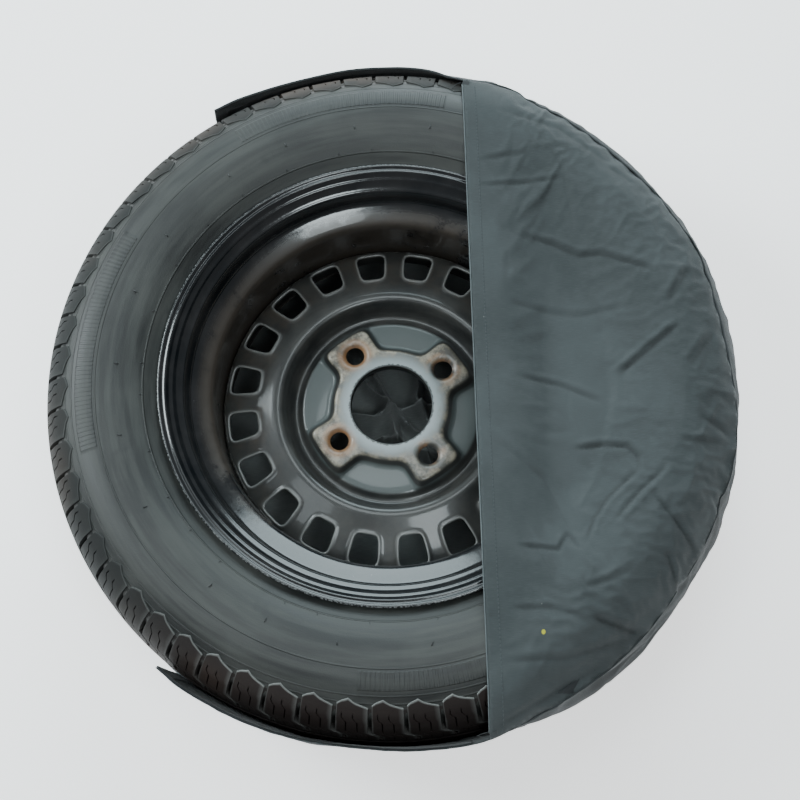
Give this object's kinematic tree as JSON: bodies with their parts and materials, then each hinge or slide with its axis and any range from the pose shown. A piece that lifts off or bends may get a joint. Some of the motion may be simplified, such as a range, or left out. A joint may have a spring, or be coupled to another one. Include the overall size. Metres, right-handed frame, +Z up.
{
  "type": "spare tire cover",
  "caption": "Dark cloth half-moon cover with a side band and hems, drawn from one side over a mounted spare tyre on a slotted steel wheel, lying flat.",
  "frame": {"origin": "on the wheel's axis, on the outside face of the cloth back panel, which lies on the floor", "axes": "+Z up out of the wheel's outboard face; the wheel is drawn out of the cover along -X"},
  "size_m": [0.6052, 0.6064, 0.1938],
  "materials": {
    "cover_cloth": "matt woven polyester with a fine plain weave",
    "binding_tape": "matt woven tape",
    "thread": "twisted polyester thread",
    "tyre_rubber": "dusty satin rubber",
    "cord_steel": "brass-plated steel cord",
    "black_paint": "glossy black paint with rust at the bolt holes",
    "weld_steel": "painted weld bead",
    "valve_rubber": "moulded black rubber",
    "valve_brass": "dull brass",
    "cap_plastic": "ribbed black plastic"
  },
  "bodies": {
    "cover": {"back_panel": "cover_cloth", "back_edge_hem": "cover_cloth", "back_seam_binding": "binding_tape", "side_band": "cover_cloth", "band_tail_upper": "cover_cloth", "band_tail_lower": "cover_cloth", "mouth_hem_upper": "cover_cloth", "mouth_hem_lower": "cover_cloth", "front_panel": "cover_cloth", "front_edge_hem": "cover_cloth", "front_seam_binding": "binding_tape", "corner_bar_tacks": "thread"},
    "wheel": {"tyre_casing": "tyre_rubber", "tyre_tread": "tyre_rubber", "steel_belt": "cord_steel", "outboard_bead_wire": "cord_steel", "inboard_bead_wire": "cord_steel", "rim_barrel": "black_paint", "wheel_disc": "black_paint", "disc_weld_beads": "weld_steel", "valve_stem": "valve_rubber", "valve_core": "valve_brass"},
    "cap": {"valve_cap": "cap_plastic"}
  },
  "joints": [
    {"name": "wheel_slide", "type": "slide", "parent": "cover", "child": "wheel", "axis": [-1, 0, 0], "range_m": [0, 0.64], "deforming": ["band_tail_upper", "band_tail_lower", "mouth_hem_upper", "mouth_hem_lower", "back_seam_binding", "corner_bar_tacks"]},
    {"name": "cap_lift", "type": "slide", "parent": "wheel", "child": "cap", "axis": [-0.7285, -0.2367, 0.6428], "range_m": [0, 0.012]}
  ]
}
